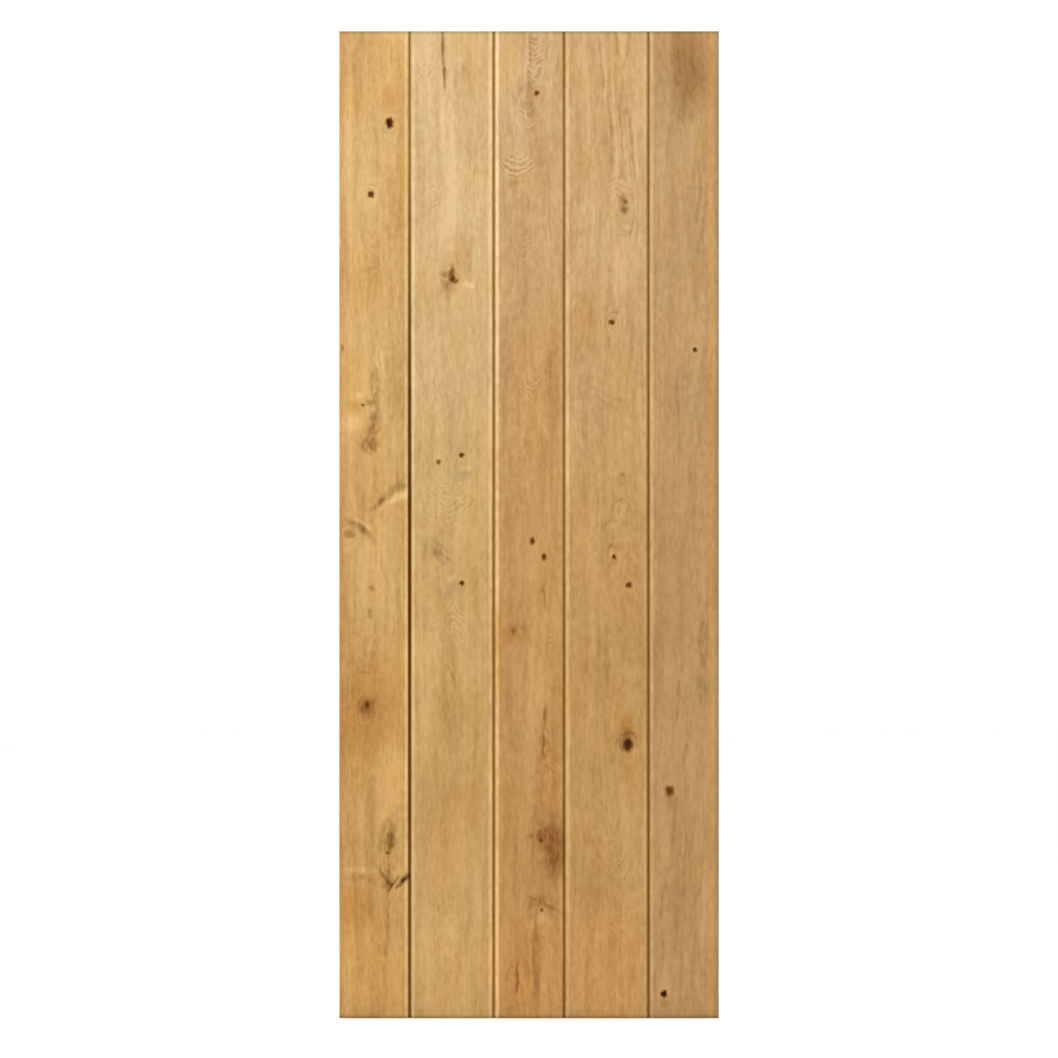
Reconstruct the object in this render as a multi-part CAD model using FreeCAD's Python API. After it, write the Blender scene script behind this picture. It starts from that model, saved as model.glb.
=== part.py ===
"""A ledged and braced door leaf in oak.

Tongued and V-jointed boards stand side by side. On their back, three level ledges hold them together, and two
sloping braces, housed into the ledges, carry the free edge's weight down to the hinge edge.

Millimetres. X runs across the door from the hinge edge, Y from the face side to the ledge side, and Z up.
The origin lies on the hinge edge, at its foot and halfway through the boards' thickness.
"""

import FreeCAD
import Part
import math
import os

# The leaf
DOOR_WIDTH = 762.0
DOOR_HEIGHT = 1981.0

# The boards, from the hinge edge to the latch edge: the wide ones are machined to a set cover width,
# and the narrow ones share what is left of the door's width
BOARD_PATTERN = ("narrow", "wide", "narrow", "wide", "narrow")
WIDE_BOARD_COVER = 169.0
BOARD_THICKNESS = 20.0
OUTER_ARRIS_RADIUS = 3.0

# The joint between two boards: a V on both faces, an open gap at its foot for the boards to swell into,
# and a tongue that bridges the gap
V_CHAMFER = 4.0
SWELLING_GAP = 2.0
TONGUE_THICKNESS = 5.0
TONGUE_LENGTH = 8.0
TONGUE_LEAD_IN = 1.0
TONGUE_SIDE_CLEARANCE = 0.3
TONGUE_END_CLEARANCE = 1.5

# The ledges: they stop short of the door's edges, so that the door shuts into a rebated frame
LEDGE_WIDTH = 140.0
LEDGE_THICKNESS = 20.0
LEDGE_END_SETBACK = 20.0
LEDGE_CHAMFER = 6.0
BOTTOM_LEDGE_RISE = 150.0
MIDDLE_LEDGE_CENTRE = 990.0
TOP_LEDGE_DROP = 150.0

# The braces: each one's toe is let into the ledge, a little way in from the ledge's end
BRACE_WIDTH = 120.0
BRACE_THICKNESS = 20.0
BRACE_CHAMFER = 6.0
BRACE_TOE_INSET = 40.0
BRACE_HOUSING_DEPTH = 25.0

TOLERANCE = 1e-6

FACE = -BOARD_THICKNESS / 2
BACK = BOARD_THICKNESS / 2


def prism(points, direction):
    """The solid swept by a closed outline of points along a direction."""
    outline = Part.makePolygon(points + points[:1])
    return Part.Face(outline).extrude(direction)


def edges_on(solid, test):
    """The solid's edges whose two ends both pass the test."""
    return [edge for edge in solid.Edges if all(test(vertex.Point) for vertex in edge.Vertexes)]


def board_limits():
    """The lines across the door where one board ends and the next begins, the door's two edges included."""
    wide_total = WIDE_BOARD_COVER * BOARD_PATTERN.count("wide")
    narrow_cover = (DOOR_WIDTH - wide_total) / BOARD_PATTERN.count("narrow")
    cover = {"narrow": narrow_cover, "wide": WIDE_BOARD_COVER}
    limits = [0.0]
    for kind in BOARD_PATTERN:
        limits.append(limits[-1] + cover[kind])
    return limits


def tongued_side(joint_line):
    """Outline of a board's tongued side, from its face to its back."""
    shoulder = joint_line - SWELLING_GAP / 2
    nose = shoulder + TONGUE_LENGTH
    half = TONGUE_THICKNESS / 2
    return [
        (shoulder - V_CHAMFER, FACE),
        (shoulder, FACE + V_CHAMFER),
        (shoulder, -half),
        (nose - TONGUE_LEAD_IN, -half),
        (nose, -half + TONGUE_LEAD_IN),
        (nose, half - TONGUE_LEAD_IN),
        (nose - TONGUE_LEAD_IN, half),
        (shoulder, half),
        (shoulder, BACK - V_CHAMFER),
        (shoulder - V_CHAMFER, BACK),
    ]


def grooved_side(joint_line):
    """Outline of a board's grooved side, from its back to its face."""
    shoulder = joint_line + SWELLING_GAP / 2
    floor = shoulder + TONGUE_LENGTH - SWELLING_GAP + TONGUE_END_CLEARANCE
    half = TONGUE_THICKNESS / 2 + TONGUE_SIDE_CLEARANCE
    return [
        (shoulder + V_CHAMFER, BACK),
        (shoulder, BACK - V_CHAMFER),
        (shoulder, half),
        (floor, half),
        (floor, -half),
        (shoulder, -half),
        (shoulder, FACE + V_CHAMFER),
        (shoulder + V_CHAMFER, FACE),
    ]


def board(start, end):
    """One board between two limits, with a plain rounded edge where it is an outer edge of the door."""
    is_hinge_edge = start <= 0
    is_latch_edge = end >= DOOR_WIDTH - TOLERANCE
    right = [(end, FACE), (end, BACK)] if is_latch_edge else tongued_side(end)
    left = [(start, BACK), (start, FACE)] if is_hinge_edge else grooved_side(start)
    corners = [FreeCAD.Vector(x, y, 0) for x, y in right + left]
    solid = prism(corners, FreeCAD.Vector(0, 0, DOOR_HEIGHT))
    outer_edges = [x for x, is_outer in ((start, is_hinge_edge), (end, is_latch_edge)) if is_outer]
    for outer in outer_edges:
        arrises = edges_on(solid, lambda p: abs(p.x - outer) < TOLERANCE and abs(abs(p.y) - BACK) < TOLERANCE)
        long_arrises = [edge for edge in arrises if edge.Length > BOARD_THICKNESS + TOLERANCE]
        solid = solid.makeFillet(OUTER_ARRIS_RADIUS, long_arrises)
    return solid


def ledge_feet():
    """The height of each ledge's lower edge."""
    return {
        "bottom_ledge": BOTTOM_LEDGE_RISE,
        "middle_ledge": MIDDLE_LEDGE_CENTRE - LEDGE_WIDTH / 2,
        "top_ledge": DOOR_HEIGHT - TOP_LEDGE_DROP - LEDGE_WIDTH,
    }


def plain_ledge(foot):
    """A ledge before it is housed for the braces, chamfered all round its back."""
    length = DOOR_WIDTH - 2 * LEDGE_END_SETBACK
    corner = FreeCAD.Vector(LEDGE_END_SETBACK, BACK, foot)
    blank = Part.makeBox(length, LEDGE_THICKNESS, LEDGE_WIDTH, corner)
    rim = edges_on(blank, lambda p: abs(p.y - BACK - LEDGE_THICKNESS) < TOLERANCE)
    return blank.makeChamfer(LEDGE_CHAMFER, rim)


def brace_outline(lower_line, upper_line):
    """The outline of a brace that rises from the ledge edge at one height to the ledge edge at another.

    Its toe at each end bears square on the ledge's housing, near the ledge's end. The other corner dies
    away on the ledge's edge.
    """
    toe_in = LEDGE_END_SETBACK + BRACE_TOE_INSET
    lower_toe = FreeCAD.Vector(toe_in, BACK, lower_line)
    upper_toe = FreeCAD.Vector(DOOR_WIDTH - toe_in, BACK, upper_line)
    between = upper_toe - lower_toe
    slope = math.atan2(between.z, between.x) + math.asin(BRACE_WIDTH / between.Length)
    heel = FreeCAD.Vector(BRACE_WIDTH / math.sin(slope), 0, 0)
    seat = FreeCAD.Vector(BRACE_HOUSING_DEPTH * math.tan(slope), 0, -BRACE_HOUSING_DEPTH)
    return [lower_toe, lower_toe + seat, lower_toe + heel, upper_toe, upper_toe - seat, upper_toe - heel]


def brace(outline):
    """A brace of a given outline, with the two long edges of its back chamfered."""
    blank = prism(outline, FreeCAD.Vector(0, BRACE_THICKNESS, 0))
    lower_toe, _, lower_heel, upper_toe, _, upper_heel = outline
    along = (upper_heel - lower_toe).normalize()
    long_edges = [
        edge
        for edge in edges_on(blank, lambda p: abs(p.y - BACK - BRACE_THICKNESS) < TOLERANCE)
        if abs(abs((edge.Vertexes[1].Point - edge.Vertexes[0].Point).normalize().dot(along)) - 1) < TOLERANCE
    ]
    return blank.makeChamfer(BRACE_CHAMFER, long_edges)


def build():
    """Every piece of the door, by name."""
    pieces = {}
    limits = board_limits()
    for number, (start, end) in enumerate(zip(limits, limits[1:]), 1):
        pieces[f"board_{number}"] = board(start, end)

    feet = ledge_feet()
    outlines = {
        "lower_brace": brace_outline(feet["bottom_ledge"] + LEDGE_WIDTH, feet["middle_ledge"]),
        "upper_brace": brace_outline(feet["middle_ledge"] + LEDGE_WIDTH, feet["top_ledge"]),
    }
    housings = [prism(outline, FreeCAD.Vector(0, LEDGE_THICKNESS, 0)) for outline in outlines.values()]
    for name, foot in feet.items():
        pieces[name] = plain_ledge(foot).cut(housings)
    for name, outline in outlines.items():
        pieces[name] = brace(outline)
    return pieces


def main():
    os.makedirs("parts", exist_ok=True)
    for name, shape in build().items():
        shape.exportStep(f"parts/{name}.step")
        print(f"{name}: {len(shape.Solids)} solid, {shape.Volume / 1e3:.1f} cm3, valid {shape.isValid()}")


main()
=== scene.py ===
"""Looks of the ledged and braced door: knotty oak boards, ledges and braces on a white studio floor.

The model is in metres. The oak's grain and its features are worked out in millimetres. Knots, streaks and
patches of the face are placed by the photograph's pixels.
"""

import math
from collections import namedtuple
from functools import partialmethod

import bmesh
import bpy
import numpy as np
from mathutils import Matrix, Vector


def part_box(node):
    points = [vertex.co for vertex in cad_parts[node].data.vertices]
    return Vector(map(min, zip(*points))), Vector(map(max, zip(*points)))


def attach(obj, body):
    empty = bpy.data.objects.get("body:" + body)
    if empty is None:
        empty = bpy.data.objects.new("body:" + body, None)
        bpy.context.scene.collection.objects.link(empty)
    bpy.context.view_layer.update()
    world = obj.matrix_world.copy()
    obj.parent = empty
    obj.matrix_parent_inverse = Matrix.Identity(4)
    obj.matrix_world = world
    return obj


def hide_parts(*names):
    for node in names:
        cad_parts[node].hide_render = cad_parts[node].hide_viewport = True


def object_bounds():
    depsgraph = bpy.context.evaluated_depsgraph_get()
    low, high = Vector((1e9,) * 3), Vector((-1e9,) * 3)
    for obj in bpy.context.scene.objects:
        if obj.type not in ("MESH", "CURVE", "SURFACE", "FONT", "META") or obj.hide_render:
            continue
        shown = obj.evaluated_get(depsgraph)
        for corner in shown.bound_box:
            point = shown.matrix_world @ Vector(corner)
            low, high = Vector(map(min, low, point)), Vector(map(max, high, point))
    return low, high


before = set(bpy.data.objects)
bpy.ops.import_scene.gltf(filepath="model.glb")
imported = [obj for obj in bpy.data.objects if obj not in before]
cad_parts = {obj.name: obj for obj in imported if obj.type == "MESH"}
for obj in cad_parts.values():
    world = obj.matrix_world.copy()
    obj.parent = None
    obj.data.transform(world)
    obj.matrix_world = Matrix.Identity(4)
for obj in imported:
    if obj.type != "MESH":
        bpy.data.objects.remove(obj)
CAD_LOW, CAD_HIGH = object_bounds()

MM = 0.001
DOOR_WIDTH = (CAD_HIGH.x - CAD_LOW.x) / MM
DOOR_HEIGHT = (CAD_HIGH.z - CAD_LOW.z) / MM
FACE = CAD_LOW.y / MM

# Points closer than this, in millimetres, count as one
TOUCH = 0.01

# The photograph's frame, and the door's edges in it, in pixels
PHOTO_SIDE = 1058
PHOTO_LEFT = 339.2
PHOTO_RIGHT = 718.9
PHOTO_TOP = 31.3
PHOTO_BOTTOM = 1017.9

# A pixel's size in millimetres
PIXEL = (DOOR_WIDTH / (PHOTO_RIGHT - PHOTO_LEFT) + DOOR_HEIGHT / (PHOTO_BOTTOM - PHOTO_TOP)) / 2

# Features of the boards' faces, in the photograph's pixels: a middle and an overall width and height, or a
# streak's two ends. A smear is a patch that the grain breaks up, a chevron is nested lines that open upwards,
# or downwards where its slope is negative, and a swirl is nested ovals.
Knot = namedtuple("Knot", "x y width height kind")
Streak = namedtuple("Streak", "x y to_x to_y width tint")
Patch = namedtuple("Patch", "x y width height strength tint")
Smear = namedtuple("Smear", "x y width height strength tint")
Chevron = namedtuple("Chevron", "x y width height slope spacing strength")
Swirl = namedtuple("Swirl", "x y width height rings strength")
Features = namedtuple("Features", "knots streaks patches smears chevrons swirls")

# A knot's colours are those of its middle and its rim. Its halo darkens the wood out to a reach in radii, a
# pale ring of some strength may lie round that, and a knot may be a hollow of some depth in millimetres.
KnotKind = namedtuple("KnotKind", "middle rim halo reach ring depth")
KNOT_KINDS = {
    "open": KnotKind((0.050, 0.011, 0.000), (0.115, 0.040, 0.003), (0.74, 0.60, 0.42), 1.7, 0.45, 5.0),
    "dark": KnotKind((0.085, 0.026, 0.000), (0.160, 0.066, 0.008), (0.78, 0.66, 0.48), 1.7, 0.32, 2.0),
    "brown": KnotKind((0.160, 0.070, 0.012), (0.220, 0.108, 0.026), (0.80, 0.70, 0.54), 1.9, 0.35, 0.8),
    "grey": KnotKind((0.150, 0.084, 0.028), (0.230, 0.140, 0.058), (0.80, 0.76, 0.68), 2.2, 0.0, 1.0),
    "faint": KnotKind((0.270, 0.148, 0.040), (0.320, 0.180, 0.056), (0.88, 0.80, 0.68), 1.9, 0.0, 0.0),
}

TINTS = {
    "black": (0.30, 0.17, 0.06),
    "dark": (0.50, 0.40, 0.28),
    "brown": (0.72, 0.60, 0.45),
    "rust": (0.68, 0.49, 0.30),
    "umber": (0.68, 0.61, 0.51),
    "warm": (0.90, 0.78, 0.60),
    "grey": (0.84, 0.88, 0.92),
    "olive": (0.86, 0.92, 0.82),
    "hint": (0.91, 0.88, 0.84),
    "shade": (0.80, 0.77, 0.74),
    "pale": (1.16, 1.22, 1.34),
    "light": (1.10, 1.11, 1.14),
    # golden: painted light that brightens the boards' feet
    "golden": (1.16, 1.10, 1.05),
    "cool": (1.00, 1.05, 1.13),
}

# The features themselves, with their values in the order given above. Each is on the board where its x lies.

KNOTS = [Knot(*row) for row in (
    (389.5, 123, 7, 9.5, "open"), (371, 194.5, 6, 7, "dark"), (342, 348, 3, 6, "faint"),
    (363, 405, 3, 3, "brown"), (349.5, 533.5, 8, 7, "faint"), (372, 588, 5, 6, "faint"),
    (370, 613, 3, 8, "faint"), (367, 705, 5, 8, "dark"), (362.5, 709, 3, 4, "brown"),
    (371.5, 715, 3.5, 4, "faint"), (364.5, 718, 3, 4, "faint"), (384.5, 842, 3, 5, "faint"),
    (391, 845, 4, 7, "brown"), (388, 853, 5, 4, "brown"), (445, 275, 7, 5, "faint"),
    (452, 272, 4, 11, "brown"), (452.5, 278.5, 5.5, 8, "dark"), (456, 281.5, 4, 4, "brown"),
    (461.5, 455, 5, 5, "dark"), (438.8, 462, 4, 4.5, "brown"), (462, 583, 5, 5, "dark"),
    (537, 93, 4.5, 5, "dark"), (532, 541, 5, 7, "dark"), (544, 557, 5, 6.5, "dark"),
    (513.5, 631, 3.5, 6, "brown"), (541, 838.5, 5, 7, "brown"), (541, 840, 3, 4, "dark"),
    (541.5, 910, 3.5, 3.5, "brown"), (622.5, 199.5, 5.5, 8, "faint"), (625, 202, 3.5, 4.5, "brown"),
    (624, 210, 5.5, 6.5, "grey"), (612, 322.5, 5, 5, "dark"), (622, 475, 5, 4, "faint"),
    (614, 557, 4.5, 5, "dark"), (629, 585, 5, 5.5, "dark"), (628, 744.5, 9, 13, "open"),
    (695, 350, 4.5, 4.5, "dark"), (700.5, 636, 4, 9, "faint"), (669.5, 791, 8, 9.5, "dark"),
    (664, 994, 6, 6.5, "open"),
)]

STREAKS = [Streak(*row, tint) for tint, rows in {
    "shade": [
        (391, 42, 391, 62, 3), (361, 437, 372, 448, 4.5), (359, 445, 368, 452, 4.5),
        (378, 406, 372, 430, 7), (377, 505.5, 398, 486, 11), (381, 501, 391, 494, 5),
        (394, 488, 407, 485, 6), (343, 526, 353, 523, 5), (360, 528, 371, 538, 8),
        (373, 652, 369, 668, 4), (358, 672.5, 369, 672, 3.5), (377, 866, 388, 881, 5),
        (389, 893, 386, 950, 4.5), (386.5, 940, 383, 1018, 5), (455, 70, 456, 87, 4),
        (463, 62, 464, 77, 4), (437, 543, 446, 551, 3.5), (435, 554, 444, 562, 3.5),
        (449, 668, 456, 684, 3), (529, 836, 548, 828, 6), (556, 860, 551, 874, 5),
        (530, 897, 541, 902, 4), (536, 913, 535.5, 938, 5), (505, 979, 512, 968, 4),
        (511, 966, 517, 968, 3), (599, 34, 604, 100, 3.5), (607, 82, 613, 170, 3.5),
        (616, 33, 618, 56, 3.5), (619, 90, 624, 178, 3), (629, 34, 625, 70, 3), (626, 90, 635, 176, 3.5),
        (608, 335, 610, 352, 3), (612, 545, 619, 549, 5), (621, 738, 625.5, 733.5, 5),
        (631, 733.5, 635, 737.5, 4), (699, 160, 700, 200, 5), (700, 195, 697, 228, 4),
        (706, 206, 702, 240, 4), (703, 622, 699, 643, 4), (663, 930, 662, 966, 6),
        (682, 664, 675, 735, 3.5), (689, 735, 684, 768, 4), (674.5, 810, 673, 846, 4),
        (686, 824, 683, 898, 4), (666, 880, 660.5, 918, 4),
    ],
    "pale": [
        (380, 350, 384, 372, 3), (376, 352, 379, 380, 3), (387, 504, 407, 492, 10),
        (357, 519, 371, 529, 4), (603, 40, 608, 110, 3), (611, 60, 617, 170, 3), (624, 34, 619, 88, 3),
        (622, 120, 629, 182, 3), (633, 110, 638, 180, 3), (616, 990, 624, 1004, 3),
        (705.5, 856, 703, 951, 5), (699, 968, 699, 996, 4),
    ],
    "hint": [
        (373, 452, 374, 500, 4), (376, 378, 372, 402, 8), (373, 420, 374, 454, 8),
        (400, 860, 391, 882, 5), (467, 920, 466, 963, 5), (446, 655, 447, 745, 7),
        (461, 700, 462, 735, 6), (541, 337, 554, 354, 4), (531, 398, 525, 444, 6),
        (547, 766, 556, 746, 5), (543, 844, 559, 859, 8), (536.5, 930, 537, 1008, 8),
        (590, 386, 622, 402, 5), (596, 396, 618, 412, 5), (598, 590, 598, 700, 7),
        (605, 600, 607, 705, 8), (629, 640, 628, 700, 8), (676, 380, 678, 412, 6),
        (701, 507, 702, 529, 5), (698, 598, 703, 622, 5), (699, 645, 704, 668, 5),
        (706, 600, 709, 640, 3),
    ],
    "brown": [
        (376, 506, 381, 502.5, 6), (545, 572, 545, 610, 3), (545, 705, 545, 722, 3),
        (545, 735, 544.5, 757, 3), (548, 905, 560, 912, 4), (517.5, 962, 517, 994, 4),
        (517, 972, 517, 990, 3), (623, 734, 633, 734, 5),
    ],
    "umber": [
        (351, 523, 363, 530, 8), (391, 836, 390, 850, 4), (388.5, 856, 389, 881, 3.5),
        (381, 874, 390, 884, 5), (431, 547, 440, 555, 3.5), (439, 551, 448, 559, 3.5),
    ],
    "warm": [(511, 185, 520, 181, 5)],
    "light": [(699, 739, 696, 775, 4)],
}.items() for row in rows]

PATCHES = [Patch(*row, tint) for tint, rows in {
    "warm": [
        (376, 80, 90, 130, 0.25), (402, 170, 16, 320, 0.5), (388, 104, 26, 26, 0.6),
        (355, 409, 26, 16, 0.8), (370, 705, 80, 130, 0.7), (356, 905, 46, 60, 0.8),
        (468, 60, 10, 60, 0.5), (462, 254, 26, 50, 0.6), (450, 830, 130, 150, 0.25),
        (553, 380, 13, 240, 0.55), (516, 630, 34, 22, 0.7), (554, 768, 14, 130, 0.7),
        (528, 400, 110, 320, 0.22), (627.5, 722, 17, 30, 1.1), (606, 97, 120, 150, 0.2),
        (606, 340, 120, 150, 0.17), (692, 66, 64, 120, 0.9),
    ],
    "grey": [
        (388, 134, 16, 12, 0.9), (462, 476, 34, 12, 0.9), (433, 548, 26, 26, 0.6),
        (544, 455, 10, 46, 0.9), (684, 97, 110, 150, 0.35),
    ],
    "pale": [
        (352, 426, 28, 18, 0.9), (359, 398, 10, 8, 0.9), (399, 497, 20, 12, 1.2), (391, 502, 8, 5, 0.9),
        (370, 578, 60, 120, 0.4), (361, 869, 42, 7, 1.4), (450, 130, 100, 280, 0.22),
        (468, 286, 16, 7, 0.9), (470, 471, 7, 6, 0.8), (452, 578, 12, 8, 0.9), (516, 75, 80, 130, 0.35),
        (521, 630, 8, 6, 0.9), (528, 690, 50, 90, 0.2), (543, 921, 26, 16, 0.4),
        (606, 215, 90, 140, 0.4), (626, 262, 30, 70, 0.4), (634.5, 750.5, 6, 10, 1.6),
        (684, 200, 90, 130, 0.2),
    ],
    "brown": [
        (367, 708, 22, 28, 0.7), (541, 838, 16, 22, 0.6), (545, 850, 48, 120, 0.35),
        (616, 548, 14, 12, 0.5),
    ],
    "olive": [(387, 842, 26, 38, 0.9), (703, 690, 18, 30, 0.6)],
    "light": [(388, 780, 44, 120, 0.8)],
    # Painted light at the foot of each board, brighter as if lit from low in front
    "golden": [
        (374, 975, 90, 130, 0.6), (450, 970, 110, 140, 0.6), (528, 970, 90, 140, 0.9),
        (606, 965, 110, 160, 1.1), (684, 975, 90, 130, 0.5),
    ],
    "cool": [
        (388, 432, 32, 80, 0.8), (372, 585, 110, 160, 0.6), (528, 97, 110, 150, 0.7),
        (528, 700, 90, 130, 0.6), (625, 755, 22, 14, 1.3),
    ],
    "hint": [(372, 700, 110, 150, 0.45), (528, 830, 110, 150, 0.5)],
    "shade": [
        (527, 95, 40, 50, 0.45), (624, 205, 13, 22, 1.0), (627, 742, 24, 30, 0.9),
        (686, 70, 34, 100, 0.6), (672, 802, 18, 24, 0.8), (664, 1002, 10, 26, 0.7),
    ],
    "rust": [(556, 848, 30, 80, 0.6)],
    "umber": [(537, 965, 13, 110, 0.6)],
}.items() for row in rows]

SMEARS = [Smear(*row, tint) for tint, rows in {
    "umber": [
        (374, 388, 15, 44, 0.9), (367, 405, 16, 8, 1.0), (374, 428, 18, 70, 0.9),
        (367, 445, 20, 22, 0.8), (388.5, 842, 24, 36, 1.1), (388, 868, 28, 30, 0.7),
        (627, 741, 26, 26, 0.6),
    ],
    "dark": [(349.5, 533, 12, 9, 1.3), (450, 277, 22, 26, 0.9)],
    "brown": [
        (367, 710, 28, 36, 0.9), (390, 884, 26, 12, 0.9), (360, 877, 40, 10, 0.7),
        (545, 838, 36, 40, 0.7), (541, 904, 36, 30, 0.8), (627, 727, 14, 18, 0.8),
    ],
    "shade": [
        (388, 826, 20, 60, 0.9), (447, 292, 20, 24, 1.0), (436, 551, 28, 26, 0.6),
        (533, 56, 22, 60, 0.9), (527, 98, 36, 44, 0.7), (537, 965, 14, 100, 0.4),
        (613, 312, 16, 24, 0.9), (622, 500, 24, 44, 0.5), (676, 62, 16, 80, 0.8), (694, 80, 26, 90, 0.7),
        (703, 640, 16, 90, 0.9), (703, 690, 18, 40, 0.6),
    ],
    "grey": [(454, 592, 40, 22, 0.9), (624, 226, 26, 34, 1.0)],
    "rust": [(545, 745, 11, 110, 0.6), (556, 845, 16, 60, 0.45), (552, 862, 16, 34, 0.45)],
}.items() for row in rows]

CHEVRONS = [Chevron(*row) for row in (
    (372, 260, 40, 100, 2.6, 13, 0.14), (368, 640, 36, 70, 2.2, 11, 0.16),
    (424, 70, 30, 30, 0.9, 6, 0.26), (449, 502, 84, 70, 0.9, 6, 0.26), (453, 622, 50, 56, -1.4, 8, 0.24),
    (448, 380, 50, 100, 2.8, 13, 0.12), (449, 920, 56, 150, -2.6, 14, 0.14),
    (534, 62, 25, 76, 0.9, 6, 0.44), (528, 116, 40, 70, 0.8, 6, 0.22), (517, 166, 44, 34, 0.75, 6, 0.8),
    (524, 250, 34, 44, 1.4, 8, 0.22), (545, 340, 36, 30, -0.9, 6, 0.2), (533, 385, 40, 44, 1.0, 7, 0.24),
    (550, 640, 18, 26, -1.0, 6, 0.3), (551, 766, 20, 60, -1.6, 9, 0.26),
    (618, 186, 40, 36, -0.7, 7, 0.22), (627, 232, 44, 36, 0.6, 7, 0.14),
    (622, 502, 36, 44, -1.3, 8, 0.16), (620, 535, 70, 140, -2.2, 24, 0.2),
    (622, 868, 36, 50, 1.6, 9, 0.24), (618, 926, 30, 34, 1.4, 8, 0.22),
    (608, 850, 70, 130, 1.8, 16, 0.14), (690, 120, 40, 90, 2.8, 11, 0.16),
)]

SWIRLS = [Swirl(*row) for row in (
    (371, 195, 22, 30, 3, 0.3), (390, 125, 30, 40, 3, 0.24), (434, 194, 20, 30, 3, 0.34),
    (614, 321, 32, 36, 3, 0.26), (628, 745, 28, 38, 2, 0.35), (669, 791, 24, 30, 3, 0.22),
)]

# Open splits in the boards' faces: the route in pixels, with the split's width in pixels at each point, its
# depth in millimetres, and the tint inside
Split = namedtuple("Split", "route depth tint")
SPLITS = [
    Split([(389, 891, 1.0), (393, 884, 3.4), (397, 878, 1.2)], 2.0, "dark"),
    Split([(398, 886, 1.2), (403, 880, 4.5), (409, 874, 8.0)], 3.5, "black"),
    Split([(442, 29, 4.2), (443.5, 58, 3.6), (445, 88, 0.8)], 2.5, "dark"),
]

# How each piece was sawn: its two tones, the tint that it takes on towards its foot, the tree's heart across
# from the piece's middle and behind its face, and how fast the rings drift along it
Grain = namedtuple("Grain", "pale deep foot heart_x heart_y drift seed")
BOARD_GRAIN = {
    "board_1": Grain((0.525, 0.338, 0.138), (0.375, 0.215, 0.074), (0.91, 0.85, 0.73), 6, 62, 0.020, 1.0),
    "board_2": Grain((0.530, 0.368, 0.183), (0.388, 0.245, 0.104), (0.88, 0.81, 0.64), -4, 70, -0.016, 2.0),
    "board_3": Grain((0.485, 0.315, 0.148), (0.350, 0.200, 0.078), (0.89, 0.79, 0.60), 2, 58, -0.018, 3.0),
    "board_4": Grain((0.492, 0.323, 0.153), (0.358, 0.208, 0.080), (0.88, 0.80, 0.64), 30, 66, 0.017, 4.0),
    "board_5": Grain((0.426, 0.267, 0.122), (0.312, 0.178, 0.071), (0.93, 0.89, 0.79), 40, 90, 0.012, 5.0),
}
BACK_GRAIN = {
    "bottom_ledge": Grain((0.470, 0.292, 0.120), (0.325, 0.182, 0.064), (1, 1, 1), 20, 60, 0.020, 6.0),
    "middle_ledge": Grain((0.505, 0.328, 0.148), (0.362, 0.210, 0.080), (1, 1, 1), -26, 72, -0.018, 7.0),
    "top_ledge": Grain((0.485, 0.312, 0.140), (0.345, 0.198, 0.074), (1, 1, 1), 8, 56, 0.022, 8.0),
    "lower_brace": Grain((0.510, 0.326, 0.138), (0.366, 0.208, 0.074), (1, 1, 1), -15, 64, 0.020, 9.0),
    "upper_brace": Grain((0.475, 0.306, 0.142), (0.340, 0.198, 0.078), (1, 1, 1), 24, 60, -0.020, 10.0),
}
PLUG_GRAIN = Grain((0.430, 0.255, 0.096), (0.215, 0.112, 0.036), (1, 1, 1), 10, 60, 0.02, 12.0)

# Features of the ledges and braces, in millimetres across and along each one from its middle
BACK_KNOTS = {
    "bottom_ledge": [(18, -214, 15, 19, "brown"), (-34, 128, 8, 10, "dark"), (42, 262, 7, 8, "faint")],
    "middle_ledge": [(-20, 52, 12, 16, "dark"), (36, 236, 9, 11, "faint"), (6, -262, 9, 10, "brown")],
    "top_ledge": [(10, 186, 16, 21, "grey"), (-38, -126, 8, 9, "faint")],
    "lower_brace": [(-16, -124, 12, 15, "brown"), (27, 246, 9, 10, "dark")],
    "upper_brace": [(19, 92, 14, 18, "dark"), (-30, -252, 8, 9, "faint")],
}
BACK_SMEARS = {
    "bottom_ledge": [(20, -214, 46, 120, 0.8, "brown"), (-40, 30, 30, 260, 0.8, "warm")],
    "middle_ledge": [(-20, 52, 40, 110, 0.8, "brown"), (38, -120, 34, 300, 0.7, "shade")],
    "top_ledge": [(12, 186, 50, 130, 0.9, "shade"), (-30, -220, 30, 240, 0.9, "warm")],
    "lower_brace": [(-16, -124, 38, 110, 0.8, "brown"), (30, 60, 26, 320, 0.7, "shade")],
    "upper_brace": [(19, 92, 42, 120, 0.8, "brown"), (-30, 250, 26, 260, 0.9, "warm")],
}


# From the photograph to the door

def door_x(pixel):
    """Millimetres across the door from a pixel column."""
    return (pixel - PHOTO_LEFT) / (PHOTO_RIGHT - PHOTO_LEFT) * DOOR_WIDTH


def door_z(pixel):
    """Millimetres up the door from a pixel row."""
    return (PHOTO_BOTTOM - pixel) / (PHOTO_BOTTOM - PHOTO_TOP) * DOOR_HEIGHT


def on_door(feature):
    """A feature of the photograph in the door's own millimetres, with y up the door."""
    values = {"x": door_x(feature.x), "y": door_z(feature.y)}
    if isinstance(feature, Streak):
        values.update(to_x=door_x(feature.to_x), to_y=door_z(feature.to_y))
    for name in ("width", "height", "spacing"):
        if hasattr(feature, name):
            values[name] = getattr(feature, name) * PIXEL
    return feature._replace(**values)


def split_on_door(split):
    route = [(door_x(x), door_z(y), width * PIXEL) for x, y, width in split.route]
    return split._replace(route=route)


def split_streaks(split):
    """The dark streaks that line a split."""
    legs = zip(split.route, split.route[1:])
    return [Streak(*start[:2], *end[:2], max(start[2], end[2]), split.tint) for start, end in legs]


def board_splits(left, right):
    """The splits that begin on a board's face."""
    splits = [split_on_door(split) for split in SPLITS]
    return [split for split in splits if left < split.route[0][0] < right]


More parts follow.
